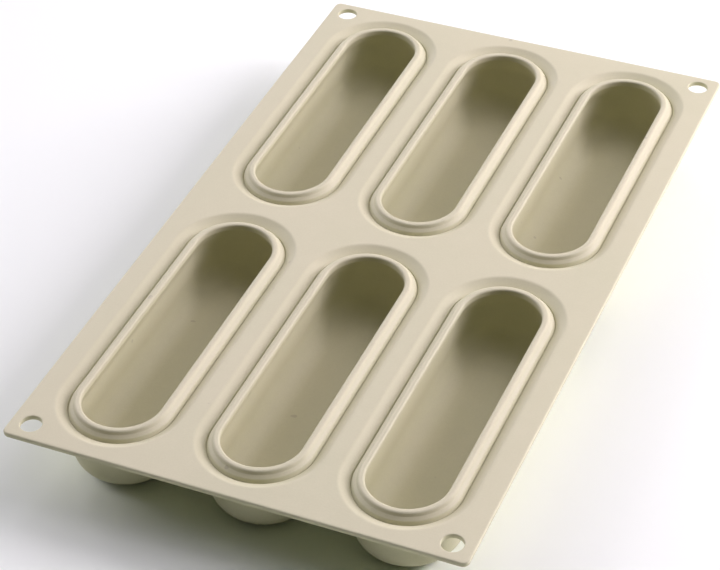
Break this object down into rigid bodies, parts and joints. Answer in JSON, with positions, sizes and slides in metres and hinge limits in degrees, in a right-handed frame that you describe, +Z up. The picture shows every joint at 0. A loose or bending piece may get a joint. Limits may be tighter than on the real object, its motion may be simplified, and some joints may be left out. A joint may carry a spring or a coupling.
{
  "type": "baguette tray",
  "caption": "Flexible moulded baking tray with long round-ended cups, each with a raised lip and a drip channel, and a hole in each corner of the sheet.",
  "frame": {"origin": "centre of the footprint, at the level that the cups stand on", "axes": "+X across the columns of cups, +Y along the cups, +Z up"},
  "size_m": [0.175, 0.299, 0.0291],
  "materials": {
    "silicone": "matte moulded silicone, pale beige"
  },
  "bodies": {
    "root": {"deck_sheet": "silicone", "channel_rim_front_left": "silicone", "channel_rim_front_middle": "silicone", "channel_rim_front_right": "silicone", "channel_rim_rear_left": "silicone", "channel_rim_rear_middle": "silicone", "channel_rim_rear_right": "silicone", "cup_front_left": "silicone", "cup_front_middle": "silicone", "cup_front_right": "silicone", "cup_rear_left": "silicone", "cup_rear_middle": "silicone", "cup_rear_right": "silicone"}
  },
  "joints": []
}
